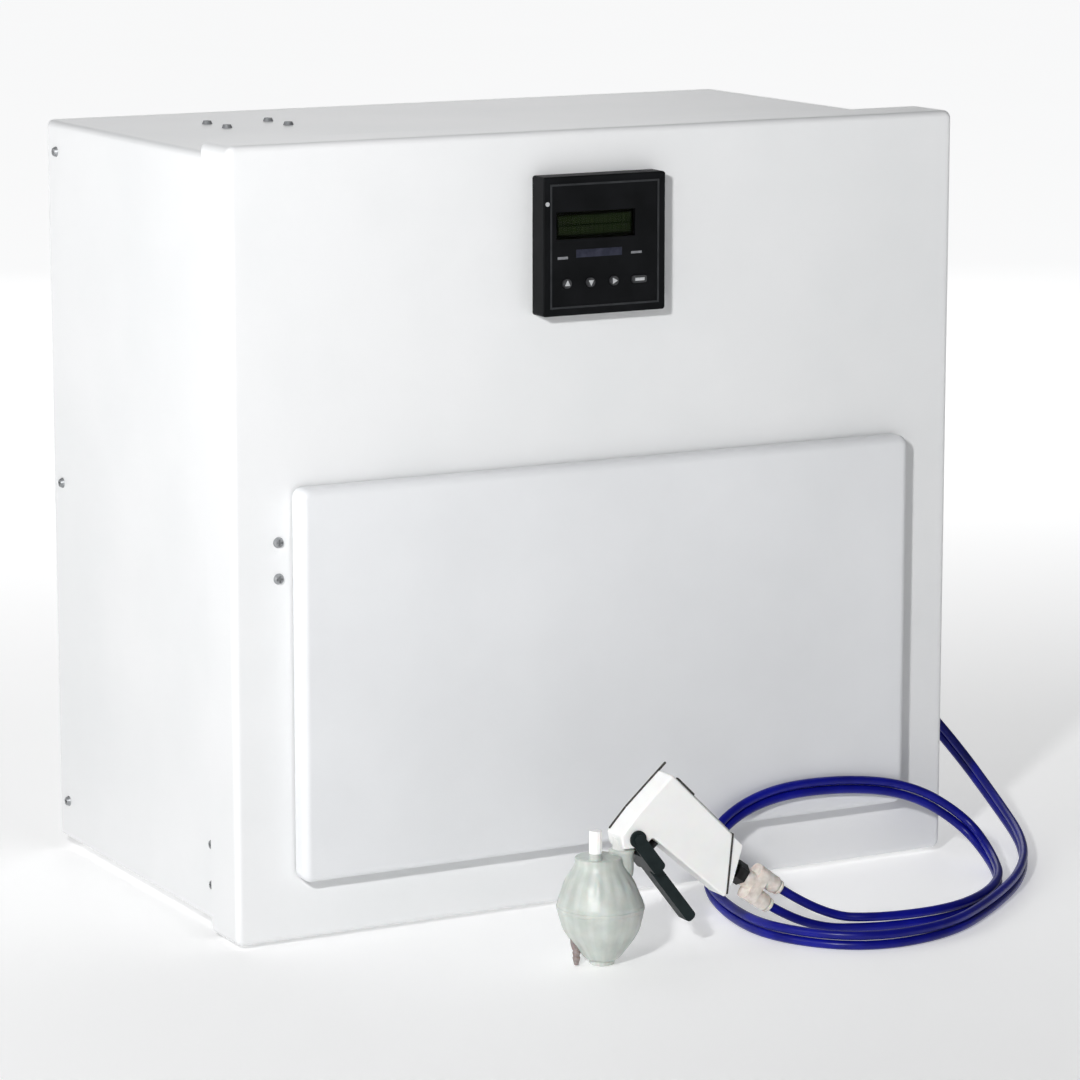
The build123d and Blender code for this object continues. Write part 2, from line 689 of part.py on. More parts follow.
def gun_body(half, inset=0.0):
    """The gun body as one solid of the given half width."""
    shape = side_profile(gun_outline(), GUN_Y - half, GUN_Y + half)
    shape = fillet(shape.edges().filter_by(Axis.Y), 2.0)
    if inset:
        face = shape.faces().sort_by(Axis.Y)[0]
        inner = offset(face, -inset)
        shape = extrude(inner, amount=2 * half, dir=(0, 1, 0))
    return shape


def stem_line():
    """The valve stem's tip and its direction, in the gun's plane."""
    along = math.radians(LEVER_REST)
    gap = 0.35
    u, v = STEM_ALONG, gap - LEVER_WEB
    x = PIVOT_X + u * math.cos(along) + v * math.sin(along)
    z = PIVOT_Z - u * math.sin(along) + v * math.cos(along)
    tilt = math.radians(STEM_ANGLE)
    return x, z, math.cos(tilt), math.sin(tilt)


def along_stem(distance):
    """A point on the stem's line, from its tip."""
    x, z, dx, dz = stem_line()
    return at_gun(x + dx * distance, z + dz * distance)


def gun_shell(side):
    """One half of the gun body, hollow, split on the middle plane."""
    body = gun_body(GUN_HALF)
    rim = body.faces().sort_by(Axis.Y)[0 if side < 0 else -1].edges()
    body = fillet(rim, 1.6)
    body = body - gun_body(GUN_HALF - GUN_WALL, GUN_WALL)
    y0, y1 = (GUN_Y - 20, GUN_Y) if side < 0 else (GUN_Y, GUN_Y + 20)
    half = body & block(-300, 300, y0, y1, 0, 200)
    half = half - rod(PIN_HOLE_R, at_gun(PIVOT_X, PIVOT_Z, -20), at_gun(PIVOT_X, PIVOT_Z, 20))
    half = half - rod(STEM_R + 1.0, along_stem(0), along_stem(28))
    half = half - rod(6.2, at_gun(INLET_DX, 70), at_gun(INLET_DX, 86))
    return half - rod(5.2, tail_point(-20), tail_point(4))


def gun_valve_block():
    """The valve inside the nose: it carries the stem, and its outlet goes down to the capsule."""
    body = block(GUN_X + 8, GUN_X + 46, GUN_Y - 7, GUN_Y + 7, 78, 102)
    guide = rod(7.0, along_stem(14), along_stem(38))
    cavity = gun_body(GUN_HALF - GUN_WALL, GUN_WALL + 0.1)
    outlet = rod(6.2, at_gun(INLET_DX, 78), at_gun(INLET_DX, 86))
    shape = (body + guide) & cavity
    shape = shape + outlet
    shape = shape - rod(PIN_HOLE_R, at_gun(PIVOT_X, PIVOT_Z, -20), at_gun(PIVOT_X, PIVOT_Z, 20))
    shape = shape - rod(STEM_R + 0.06, along_stem(10), along_stem(24))
    return shape - rod(5.6, along_stem(22), along_stem(36))


def gun_valve_stem():
    tip = rod(STEM_R, along_stem(STEM_R), along_stem(24.5))
    ball = Pos(*along_stem(STEM_R)) * Sphere(STEM_R)
    collar = rod(5.2, along_stem(22.2), along_stem(24.5))
    return add_all([tip, ball, collar])


def gun_valve_spring():
    """The return spring behind the stem's collar, as a closed coil."""
    x, y, z = along_stem(24.6)
    length, turns, radius, wire = 11.2, 5, 4.2, 0.45
    helix = Helix(pitch=length / turns, height=length - 2 * wire, radius=radius)
    coil = sweep(Plane(origin=helix @ 0, z_dir=helix % 0) * Circle(wire), helix, is_frenet=True)
    tilt = 90 - STEM_ANGLE
    return Pos(x, y, z) * Rot(0, tilt, 0) * (Pos(0, 0, wire) * coil)


def gun_lever_pin():
    reach = LEVER_IN + LEVER_SHEET + 1.2
    shaft = rod(PIN_HOLE_R, at_gun(PIVOT_X, PIVOT_Z, -reach), at_gun(PIVOT_X, PIVOT_Z, reach))
    heads = []
    for side in (-1, 1):
        inner, outer = side * (reach - 0.9), side * (reach + 0.6)
        heads.append(rod(3.4, at_gun(PIVOT_X, PIVOT_Z, inner), at_gun(PIVOT_X, PIVOT_Z, outer)))
    return add_all([shaft] + heads)


def gun_lever():
    """The squeeze lever: cheeks that straddle the nose, then a slim blade, drawn level and then turned."""
    outside = LEVER_IN + LEVER_SHEET
    start = 12.0
    cheeks = []
    for side in (-1, 1):
        y0, y1 = sorted((side * LEVER_IN, side * outside))
        plate = block(0, LEVER_FORK, y0, y1, -LEVER_WEB - LEVER_SHEET, 4.5)
        plate = fillet(plate.edges().filter_by(Axis.Y).sort_by(Axis.X)[-2:], 3.0)
        ear = rod(6.0, (0, y0, 0), (0, y1, 0))
        cheeks.append(plate + ear)
    web = block(start, LEVER_FORK - 3, -outside, outside, -LEVER_WEB - LEVER_SHEET, -LEVER_WEB)
    blade = block(LEVER_FORK - 4, LEVER_LEN, -LEVER_HALF, LEVER_HALF, -LEVER_WEB - LEVER_SHEET, 2.5)
    blade = fillet(blade.edges().filter_by(Axis.Y).sort_by(Axis.X)[-2:], 3.0)
    lever = add_all(cheeks + [web, blade])
    lever = lever - rod(PIN_HOLE_R + 0.06, (0, -20, 0), (0, 20, 0))
    return Pos(*at_gun(PIVOT_X, PIVOT_Z)) * Rot(0, LEVER_REST, 0) * lever


def tail_point(along, across=0.0):
    """A point on the tail's axis, or beside it in the gun's plane."""
    slope = math.radians(TAIL_ANGLE)
    x = TAIL_X + along * math.cos(slope) + across * math.sin(slope)
    z = TAIL_Z - along * math.sin(slope) + across * math.cos(slope)
    return at_gun(x, z)


def gun_tail_cap():
    """The wedge-shaped cap that closes the handle's end, behind a narrow gap line."""
    points = [(96.9, 78.5), (104.5, 71.0), (96.6, 45.5), (93.3, 42.0)]
    cap = side_profile([(GUN_X + x, z) for x, z in points], GUN_Y - 9.4, GUN_Y + 9.4)
    cap = fillet(cap.edges().filter_by(Axis.Y).sort_by(Axis.X)[-1], 2.0)
    return cap - rod(5.2, tail_point(-20), tail_point(12))


def gun_tail_nut():
    """The nut on the tail, with the stub that goes through the cap into the handle."""
    stub = rod(5.2, tail_point(-12), tail_point(3.0))
    hexagon = Plane(origin=tail_point(3.0), z_dir=tail_axis()) * RegularPolygon(8.0, 6)
    return stub + extrude(hexagon, 8.0)


def tail_axis():
    slope = math.radians(TAIL_ANGLE)
    return (math.cos(slope), 0, -math.sin(slope))


def gun_wye():
    """The two-way fitting: one collar towards the gun, and two legs for the tubes."""
    collar = rod(6.6, tail_point(11.0), tail_point(20.0))
    bridge = Plane(origin=tail_point(19.0), x_dir=(0, 1, 0), z_dir=tail_axis())
    body = extrude(bridge * RectangleRounded(13.0, LEG_PITCH + 12.6, 5.0), 9.0)
    shape = collar + body
    for side in (-1, 1):
        across = side * LEG_PITCH / 2
        shape = shape + rod(6.2, tail_point(26.0, across), tail_point(38.0, across))
        shape = shape + rod(4.6, tail_point(36.0, across), tail_point(41.0, across))
        shape = shape - rod(TUBE_D / 2, tail_point(27.0, across), tail_point(42.0, across))
    return shape


def capsule_profile():
    """The capsule's outer side from the foot to the top plate, as (radius, height)."""
    return [(9.5, 1.0), (12.0, 4.0), (26.0, 25.0), (29.3, 36.0), (29.3, 44.0), (23.5, 58.0), (16.8, 68.0)]


def capsule_shell():
    """The filter capsule: belly, flat foot, top plate, inlet collar and drain barb."""
    outer = Polyline((0, 1.0), *capsule_profile(), (16.8, CAPSULE_H), (0, CAPSULE_H), close=True)
    solid = revolve(Plane.XZ * make_face(outer), Axis.Z)
    inner_points = [(r - 2.0, z) for r, z in capsule_profile()[2:]]
    inner = Polyline((0, 6.0), (9.0, 6.0), *inner_points, (14.8, 72.0), (0, 72.0), close=True)
    cavity = revolve(Plane.XZ * make_face(inner), Axis.Z)
    shell = solid - cavity + rod(9.5, (0, 0, 0), (0, 0, 3))
    shell = shell + rod(8.2, (INLET_DX, 0, 58), (INLET_DX, 0, 78))
    shell = shell + frustum(4.5, 2.0, (DRAIN_DX, DRAIN_DY, 21), (DRAIN_DX, DRAIN_DY, 13))
    shell = shell + rod(2.0, (DRAIN_DX, DRAIN_DY, 0.6), (DRAIN_DX, DRAIN_DY, 20))
    shell = shell + rod(4.6, (VENT_DX, VENT_DY, 72), (VENT_DX, VENT_DY, 79))
    shell = shell - rod(2.5, (VENT_DX, VENT_DY, 74), (VENT_DX, VENT_DY, 82))
    shell = shell - rod(OUTLET_R, (0, 0, -1), (0, 0, 7))
    return Pos(GUN_X, GUN_Y, 0) * shell


def capsule_filter():
    """The pleated element: a star-shaped ring that stands inside the capsule."""
    pleats = 18
    points = []
    for step in range(2 * pleats):
        radius = 20.5 if step % 2 else 16.0
        angle = math.pi * step / pleats
        points.append((radius * math.cos(angle), radius * math.sin(angle)))
    star = make_face(Polyline(*points, close=True)) - Circle(9.0)
    return Pos(GUN_X, GUN_Y, 22.0) * extrude(star, 32.0)


def capsule_vent():
    """The knurled vent knob, with its stem in the capsule's vent port."""
    knob = rod(4.4, (0, 0, 79.4), (0, 0, 95.0))
    knob = fillet(knob.edges().sort_by(Axis.Z)[-1], 1.0)
    for step in range(12):
        angle = math.radians(step * 30)
        x, y = 4.5 * math.cos(angle), 4.5 * math.sin(angle)
        knob = knob - rod(0.55, (x, y, 80.5), (x, y, 96.0))
    stem = rod(2.45, (0, 0, 74.6), (0, 0, 80))
    return Pos(GUN_X + VENT_DX, GUN_Y + VENT_DY, 0) * (knob + stem)


# ---------------------------------------------------------------- tubes

# The lower tube's loop, from the bench right of the gun to the corner below the cabinet's fitting.
LOOP = [
    (130.0, -166.0, 3.2),
    (195.0, -166.0, 3.2),
    (256.0, -124.0, 3.2),
    (292.0, -60.0, 4.0),
    (288.0, -24.0, 26.0),
    (244.0, -20.5, 54.0),
    (184.0, -20.0, 65.0),
    (120.0, -20.0, 64.0),
    (76.0, -24.0, 44.0),
    (60.0, -38.0, 12.0),
    (50.0, -84.0, 3.2),
    (46.0, -150.0, 3.2),
    (88.0, -204.0, 3.2),
    (158.0, -203.0, 3.2),
    (224.0, -160.0, 3.2),
    (286.0, -106.0, 3.2),
    (334.0, -40.0, 5.0),
    (358.0, 34.0, 19.0),
    (364.0, 100.0, 48.0),
    (354.0, 154.0, 82.0),
]


def beside(points, pitch):
    """The same route for the tube that lies on top, one pitch away square to the run."""
    moved = []
    ends = [points[0]] + points + [points[-1]]
    for before, here, after in zip(ends, points, ends[2:]):
        run = (Vector(*after) - Vector(*before)).normalized()
        up = (Vector(0, 0, 1) - run * run.Z).normalized()
        moved.append(tuple(Vector(*here) + up * pitch))
    return moved


def tube_route(upper):
    """All the points of one tube, from the gun's fitting to the cabinet's fitting."""
    across = LEG_PITCH / 2 if upper else -LEG_PITCH / 2
    loop = beside(LOOP, TUBE_PITCH) if upper else LOOP
    start = tail_point(32.0, across)
    slope = math.tan(math.radians(TAIL_ANGLE))
    landing_z = loop[0][2]
    landing = (start[0] + (start[2] - landing_z) / slope, GUN_Y, landing_z)
    port = PORT_Z[1] if upper else PORT_Z[0]
    corner = (WRAP_HALF + 58, PORT_Y, port)
    end = (WRAP_HALF + FITTING_OUT - 12, PORT_Y, port)
    return [start, landing] + loop + [corner, end]


def tangent_radii(points):
    """A bend radius for each corner: the arc takes 45 percent of the shorter run beside it."""
    radii = []
    for before, here, after in zip(points, points[1:], points[2:]):
        back = Vector(*before) - Vector(*here)
        ahead = Vector(*after) - Vector(*here)
        half_turn = math.radians(180 - back.get_angle(ahead)) / 2
        radii.append(0.45 * min(back.length, ahead.length) / math.tan(half_turn))
    return radii


def cord(points, diameter):
    """A tube along straight runs joined by tangent arcs."""
    radii = tangent_radii(points)
    path = FilletPolyline(*points, radius=radii)
    solid = sweep(Plane(origin=path @ 0, z_dir=path % 0) * Circle(diameter / 2), path)
    section = math.pi * diameter ** 2 / 4
    print("bend radii", [round(r) for r in radii])
    print("length", round(path.length, 1), "by volume", round(solid.volume / section, 1))
    return solid


# ---------------------------------------------------------------- export

def nodes():
    """Every node's name and solid, in the working frame."""
    made = {
        "cabinet_wrap": cabinet_wrap(),
        "base_tray": base_tray(),
        "back_panel": back_panel(),
        "front_panel": front_panel(),
        "panel_seal": panel_seal(),
        "rubber_feet": rubber_feet(),
        "case_screws": case_screws(),
        "bracket_screws": bracket_screws(),
        "equipment_shelf": equipment_shelf(),
        "door": door(),
        "door_hooks": door_hooks(),
        "magnet_catch": magnet_catch(),
        "catch_screws": catch_screws(),
        "strike_plate": strike_plate(),
        "meter_bezel": meter_bezel(),
        "meter_window": meter_window(),
        "meter_display": meter_display(),
        "meter_case": meter_case(),
        "meter_board": meter_board(),
        "meter_clamps": meter_clamps(),
        "meter_latch_screw": meter_latch_screw(),
        "cartridge_head": cartridge_head(),
        "pump_head": pump_head(),
        "pump_motor": pump_motor(),
        "pump_rotor": pump_rotor(),
        "power_supply": power_supply(),
        "uv_housing": uv_housing(),
        "solenoid_valve": solenoid_valve(),
        "resistivity_cell": resistivity_cell(),
        "outlet_fittings": outlet_fittings(),
        "service_fittings": service_fittings(),
        "inner_pipes": inner_pipes(),
        "power_inlet": power_inlet(),
        "switch_frame": switch_frame(),
        "rocker_switch": rocker_switch(),
        "gun_shell_left": gun_shell(1),
        "gun_shell_right": gun_shell(-1),
        "gun_valve_block": gun_valve_block(),
        "gun_valve_stem": gun_valve_stem(),
        "gun_valve_spring": gun_valve_spring(),
        "gun_lever": gun_lever(),
        "gun_lever_pin": gun_lever_pin(),
        "gun_tail_cap": gun_tail_cap(),
        "gun_tail_nut": gun_tail_nut(),
        "gun_wye": gun_wye(),
        "capsule_shell": capsule_shell(),
        "capsule_filter": capsule_filter(),
        "capsule_vent": capsule_vent(),
        "product_tube": cord(tube_route(upper=True), TUBE_D),
        "return_tube": cord(tube_route(upper=False), TUBE_D),
    }
    for number, x in enumerate(CARTRIDGE_X, start=1):
        made[f"cartridge_{number}"] = cartridge(x)
    for name in KEY_DX:
        made[name] = key_shape(name, -METER_PROUD - 1.6, -METER_PROUD + 6.0)
    return made


os.makedirs("parts", exist_ok=True)
for node, shape in nodes().items():
    export_step(Pos(*ORIGIN_SHIFT) * shape, f"parts/{node}.step")
print("origin shift", ORIGIN_SHIFT)
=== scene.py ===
"""Looks of the water polishing cabinet and its dispensing gun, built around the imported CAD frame."""

import math

import bmesh
import bpy
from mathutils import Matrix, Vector


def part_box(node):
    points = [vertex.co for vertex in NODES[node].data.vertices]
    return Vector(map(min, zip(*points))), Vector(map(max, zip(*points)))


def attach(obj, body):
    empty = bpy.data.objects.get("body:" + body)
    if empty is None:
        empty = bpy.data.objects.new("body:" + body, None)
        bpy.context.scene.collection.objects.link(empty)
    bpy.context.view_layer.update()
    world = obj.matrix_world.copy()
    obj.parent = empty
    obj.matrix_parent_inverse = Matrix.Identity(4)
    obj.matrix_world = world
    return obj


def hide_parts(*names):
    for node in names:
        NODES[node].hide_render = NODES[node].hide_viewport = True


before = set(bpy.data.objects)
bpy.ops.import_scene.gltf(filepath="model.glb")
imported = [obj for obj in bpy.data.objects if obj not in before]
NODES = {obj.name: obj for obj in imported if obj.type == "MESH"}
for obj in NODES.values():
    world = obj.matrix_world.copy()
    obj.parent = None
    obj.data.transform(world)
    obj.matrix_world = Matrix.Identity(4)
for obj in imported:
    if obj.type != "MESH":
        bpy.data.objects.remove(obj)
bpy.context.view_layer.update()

# The CAD's working frame is in millimetres: X from the cabinet's middle, Y from the front panel's
# face, Z from the bench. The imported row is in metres.
MM = 0.001
PANEL_LOW, PANEL_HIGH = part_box("front_panel")
ORIGIN = Vector(((PANEL_LOW.x + PANEL_HIGH.x) / 2, PANEL_LOW.y, 0))

# Places in the working frame.
GUN = Vector((-81.0, -141.0, 0.0))
GUN_HALF = 10.0
METER = Vector((-9.7, 0.0, 470.8))
METER_FACE = -16.0


def at(x, y, z):
    """A point of the working frame as a point of the row's frame."""
    return ORIGIN + Vector((x, y, z)) * MM


# The number of pleats and ribs around the filter capsule, and its foot.
PLEATS = 18
CAPSULE_FOOT = at(*GUN)


# ---------------------------------------------------------------- materials

def ramp(tree, factor, dark, light, low=0.35, high=0.65):
    """A colour ramp between two colours, driven by a factor socket."""
    node = tree.nodes.new("ShaderNodeValToRGB")
    first, last = node.color_ramp.elements
    first.position, last.position = low, high
    first.color, last.color = (*dark, 1), (*light, 1)
    tree.links.new(factor, node.inputs["Fac"])
    return node.outputs["Color"]


def spread(tree, value, low, high):
    """A value from 0 to 1, stretched to run from low to high."""
    node = tree.nodes.new("ShaderNodeMapRange")
    node.inputs["To Min"].default_value = low
    node.inputs["To Max"].default_value = high
    tree.links.new(value, node.inputs["Value"])
    return node.outputs["Result"]


def noise(tree, coords, size_mm, detail=3.0, stretch=(1, 1, 1)):
    """Noise with features of about the given size, drawn out along an axis by stretch."""
    mapping = tree.nodes.new("ShaderNodeMapping")
    mapping.inputs["Scale"].default_value = stretch
    node = tree.nodes.new("ShaderNodeTexNoise")
    node.inputs["Scale"].default_value = 1 / (size_mm * MM)
    node.inputs["Detail"].default_value = detail
    tree.links.new(coords, mapping.inputs["Vector"])
    tree.links.new(mapping.outputs["Vector"], node.inputs["Vector"])
    return node.outputs["Fac"]


def finish(name, dark, light, rough, blotch, grain, relief, stretch=(1, 1, 1), **sockets):
    """A procedural finish: blotchy colour, uneven gloss, and fine relief.

    blotch and grain are the sizes of their patches and relief is its height, in millimetres. rough
    is the range of roughness. Other names are the shader's own sockets."""
    material = bpy.data.materials.new(name)
    material.use_nodes = True
    tree = material.node_tree
    shader = tree.nodes["Principled BSDF"]
    coords = tree.nodes.new("ShaderNodeTexCoord").outputs["Object"]
    broad = noise(tree, coords, blotch, detail=4.0)
    fine = noise(tree, coords, grain, stretch=stretch)
    tree.links.new(ramp(tree, broad, dark, light), shader.inputs["Base Color"])
    tree.links.new(spread(tree, fine, *rough), shader.inputs["Roughness"])
    bump = tree.nodes.new("ShaderNodeBump")
    bump.inputs["Strength"].default_value = 0.6
    bump.inputs["Distance"].default_value = relief * MM
    tree.links.new(fine, bump.inputs["Height"])
    tree.links.new(bump.outputs["Normal"], shader.inputs["Normal"])
    for socket, value in sockets.items():
        shader.inputs[socket.replace("_", " ")].default_value = value
    return material


def frosted(name):
    """The capsule's frosted plastic, with the pleats inside showing as faint upright bands."""
    material = finish(name, (0.50, 0.535, 0.505), (0.60, 0.635, 0.60), (0.32, 0.46), blotch=14,
                      grain=0.8, relief=0.03, Subsurface_Weight=0.2, Subsurface_Scale=0.004)
    tree = material.node_tree
    shader = tree.nodes["Principled BSDF"]
    coords = tree.nodes["Texture Coordinate"].outputs["Object"]
    centre = tree.nodes.new("ShaderNodeVectorMath")
    centre.operation = "SUBTRACT"
    centre.inputs[1].default_value = CAPSULE_FOOT
    tree.links.new(coords, centre.inputs[0])
    split = tree.nodes.new("ShaderNodeSeparateXYZ")
    tree.links.new(centre.outputs["Vector"], split.inputs["Vector"])
    angle = tree.nodes.new("ShaderNodeMath")
    angle.operation = "ARCTAN2"
    tree.links.new(split.outputs["Y"], angle.inputs[0])
    tree.links.new(split.outputs["X"], angle.inputs[1])
    turns = tree.nodes.new("ShaderNodeMath")
    turns.operation = "MULTIPLY"
    turns.inputs[1].default_value = PLEATS
    tree.links.new(angle.outputs["Value"], turns.inputs[0])
    wave = tree.nodes.new("ShaderNodeMath")
    wave.operation = "SINE"
    tree.links.new(turns.outputs["Value"], wave.inputs[0])
    height = spread(tree, wave.outputs["Value"], 0.5, 1.0)
    bands = ramp(tree, height, (0.86, 0.88, 0.86), (1, 1, 1), 0.2, 0.9)
    mix = tree.nodes.new("ShaderNodeMix")
    mix.data_type = "RGBA"
    mix.blend_type = "MULTIPLY"
    mix.inputs["Factor"].default_value = 0.8
    tree.links.new(shader.inputs["Base Color"].links[0].from_socket, mix.inputs["A"])
    tree.links.new(bands, mix.inputs["B"])
    tree.links.new(mix.outputs["Result"], shader.inputs["Base Color"])
    return material


FINISHES = {
    "cabinet_white": dict(dark=(0.80, 0.81, 0.815), light=(0.84, 0.845, 0.85), rough=(0.30, 0.42),
                          blotch=140, grain=1.6, relief=0.05, Specular_IOR_Level=0.45),
    "door_white": dict(dark=(0.76, 0.77, 0.785), light=(0.80, 0.81, 0.825), rough=(0.30, 0.42),
                       blotch=120, grain=1.6, relief=0.05, Specular_IOR_Level=0.45),
    "zinc_sheet": dict(dark=(0.50, 0.51, 0.52), light=(0.66, 0.67, 0.68), rough=(0.28, 0.5),
                       blotch=18, grain=4, relief=0.02, Metallic=1.0),
    "steel_dark": dict(dark=(0.26, 0.27, 0.28), light=(0.38, 0.39, 0.40), rough=(0.35, 0.5),
                       blotch=3, grain=0.5, relief=0.02, Metallic=0.5),
    "stainless": dict(dark=(0.58, 0.58, 0.58), light=(0.68, 0.68, 0.68), rough=(0.2, 0.38),
                      blotch=30, grain=0.7, relief=0.02, stretch=(0.06, 1, 1), Metallic=1.0),
    "rubber_black": dict(dark=(0.018, 0.018, 0.018), light=(0.032, 0.032, 0.032), rough=(0.7, 0.9),
                         blotch=8, grain=0.6, relief=0.06),
    "foam_black": dict(dark=(0.02, 0.02, 0.022), light=(0.045, 0.045, 0.05), rough=(0.85, 1.0),
                       blotch=3, grain=0.9, relief=0.25),
    "meter_black": dict(dark=(0.0035, 0.004, 0.0045), light=(0.006, 0.0065, 0.0075),
                        rough=(0.38, 0.58), blotch=20, grain=0.45, relief=0.05,
                        Specular_IOR_Level=0.08),
    "meter_case_black": dict(dark=(0.016, 0.016, 0.018), light=(0.028, 0.028, 0.03), rough=(0.5, 0.7),
                             blotch=30, grain=0.8, relief=0.05),
    "display_green": dict(dark=(0.010, 0.018, 0.004), light=(0.016, 0.028, 0.007), rough=(0.2, 0.34),
                          blotch=22, grain=0.5, relief=0.01, Specular_IOR_Level=0.05),
    "board_green": dict(dark=(0.01, 0.07, 0.03), light=(0.02, 0.11, 0.05), rough=(0.35, 0.55),
                        blotch=5, grain=0.8, relief=0.04),
    "key_grey": dict(dark=(0.035, 0.036, 0.038), light=(0.055, 0.056, 0.06), rough=(0.4, 0.6),
                     blotch=3, grain=0.4, relief=0.02, Specular_IOR_Level=0.25),
    "cartridge_white": dict(dark=(0.74, 0.75, 0.74), light=(0.82, 0.83, 0.82), rough=(0.28, 0.42),
                            blotch=50, grain=2, relief=0.04),
    "head_blue": dict(dark=(0.02, 0.055, 0.17), light=(0.03, 0.075, 0.23), rough=(0.35, 0.5),
                      blotch=30, grain=1, relief=0.04),
    "pump_black": dict(dark=(0.012, 0.012, 0.014), light=(0.025, 0.025, 0.028), rough=(0.35, 0.5),
                       blotch=20, grain=1.2, relief=0.06),
    "pump_head_grey": dict(dark=(0.07, 0.072, 0.076), light=(0.11, 0.112, 0.118), rough=(0.45, 0.6),
                           blotch=15, grain=0.8, relief=0.05),
    "coil_black": dict(dark=(0.014, 0.014, 0.016), light=(0.026, 0.026, 0.03), rough=(0.45, 0.65),
                       blotch=10, grain=0.7, relief=0.05),
    "fitting_natural": dict(dark=(0.66, 0.59, 0.53), light=(0.86, 0.80, 0.74), rough=(0.3, 0.5),
                            blotch=5, grain=0.7, relief=0.05, Subsurface_Weight=0.25,
                            Subsurface_Scale=0.003),
    "fitting_white": dict(dark=(0.70, 0.70, 0.68), light=(0.80, 0.80, 0.78), rough=(0.32, 0.5),
                          blotch=8, grain=0.7, relief=0.04),
    "pipe_natural": dict(dark=(0.62, 0.65, 0.68), light=(0.72, 0.74, 0.76), rough=(0.3, 0.45),
                         blotch=20, grain=1.2, relief=0.03),
    "inlet_black": dict(dark=(0.012, 0.012, 0.012), light=(0.022, 0.022, 0.023), rough=(0.4, 0.6),
                        blotch=8, grain=0.5, relief=0.04),
    "gun_white": dict(dark=(0.93, 0.93, 0.915), light=(0.97, 0.97, 0.955), rough=(0.28, 0.42),
                      blotch=25, grain=0.9, relief=0.03, Subsurface_Weight=0.1,
                      Subsurface_Scale=0.002),
    "lever_black": dict(dark=(0.008, 0.014, 0.015), light=(0.013, 0.021, 0.022), rough=(0.32, 0.5),
                        blotch=10, grain=0.7, relief=0.05, Specular_IOR_Level=0.16),
    "nut_black": dict(dark=(0.008, 0.008, 0.008), light=(0.016, 0.016, 0.017), rough=(0.35, 0.55),
                      blotch=4, grain=0.5, relief=0.04, Specular_IOR_Level=0.2),
    "spring_steel": dict(dark=(0.5, 0.5, 0.5), light=(0.65, 0.65, 0.65), rough=(0.2, 0.35),
                         blotch=2, grain=0.4, relief=0.01, Metallic=1.0),
    "filter_white": dict(dark=(0.72, 0.72, 0.70), light=(0.82, 0.82, 0.80), rough=(0.8, 0.95),
                         blotch=6, grain=0.5, relief=0.08),
    "tube_blue": dict(dark=(0.0018, 0.0034, 0.165), light=(0.0034, 0.006, 0.26), rough=(0.26, 0.4),
                      blotch=30, grain=1.0, relief=0.02, Specular_IOR_Level=0.28),
    "mark_dim": dict(dark=(0.16, 0.165, 0.18), light=(0.24, 0.245, 0.26), rough=(0.4, 0.55),
                     blotch=2, grain=0.3, relief=0.01),
    "mark_slate": dict(dark=(0.018, 0.02, 0.034), light=(0.034, 0.036, 0.056), rough=(0.4, 0.55),
                       blotch=6, grain=0.4, relief=0.01, Specular_IOR_Level=0.15),
    "mark_light": dict(dark=(0.42, 0.43, 0.44), light=(0.54, 0.55, 0.56), rough=(0.4, 0.55),
                       blotch=2, grain=0.3, relief=0.01),
    "mark_green": dict(dark=(0.013, 0.023, 0.006), light=(0.019, 0.032, 0.009), rough=(0.25, 0.4),
                       blotch=4, grain=0.5, relief=0.01, Specular_IOR_Level=0.05),
    # Dark for the tail's gasket, and for the strips of painted shade on the gun's nose and back slot.
    "seam_dark": dict(dark=(0.035, 0.032, 0.028), light=(0.07, 0.065, 0.058), rough=(0.55, 0.75),
                      blotch=5, grain=0.5, relief=0.05),
    "seam_light": dict(dark=(0.30, 0.29, 0.28), light=(0.40, 0.39, 0.37), rough=(0.55, 0.75),
                       blotch=5, grain=0.5, relief=0.03),
    "meter_edge": dict(dark=(0.022, 0.024, 0.026), light=(0.034, 0.036, 0.039), rough=(0.35, 0.5),
                       blotch=12, grain=0.4, relief=0.03, Specular_IOR_Level=0.2),
    "drain_pink": dict(dark=(0.20, 0.16, 0.155), light=(0.30, 0.25, 0.24), rough=(0.35, 0.5),
                       blotch=3, grain=0.4, relief=0.03, Subsurface_Weight=0.2,
                       Subsurface_Scale=0.002),
    "window_smoke": dict(dark=(0.62, 0.70, 0.56), light=(0.70, 0.78, 0.64), rough=(0.02, 0.08),
                         blotch=20, grain=6, relief=0.01, Transmission_Weight=1.0, IOR=1.12),
    "stage_pale": dict(dark=(0.80, 0.80, 0.80), light=(0.82, 0.82, 0.82), rough=(0.6, 0.7),
                       blotch=400, grain=8, relief=0.01, Emission_Color=(1, 1, 1, 1)),
}
MATERIALS = {name: finish(name + "_finish", **look) for name, look in FINISHES.items()}
MATERIALS["capsule_frosted"] = frosted("capsule_frosted_finish")


# The floor's glow: its dimmest place, in metres, and how it grows with the distance from there.
GLOW_CENTRE = (-0.6, -0.9, 0.0)
GLOW_RANGE = {"From Min": 0.5, "From Max": 3.0, "To Min": 0.18, "To Max": 0.84}


def glowing_floor(material):
    """Lets the floor glow, faintly where the key light falls and more beyond, to keep it pale."""
    tree = material.node_tree
    coords = tree.nodes["Texture Coordinate"].outputs["Object"]
    reach = tree.nodes.new("ShaderNodeVectorMath")
    reach.operation = "DISTANCE"
    tree.links.new(coords, reach.inputs[0])
    reach.inputs[1].default_value = GLOW_CENTRE
    glow = tree.nodes.new("ShaderNodeMapRange")
    for socket, value in GLOW_RANGE.items():
        glow.inputs[socket].default_value = value
    tree.links.new(reach.outputs["Value"], glow.inputs["Value"])
    tree.links.new(glow.outputs["Result"], tree.nodes["Principled BSDF"].inputs["Emission Strength"])


glowing_floor(MATERIALS["stage_pale"])

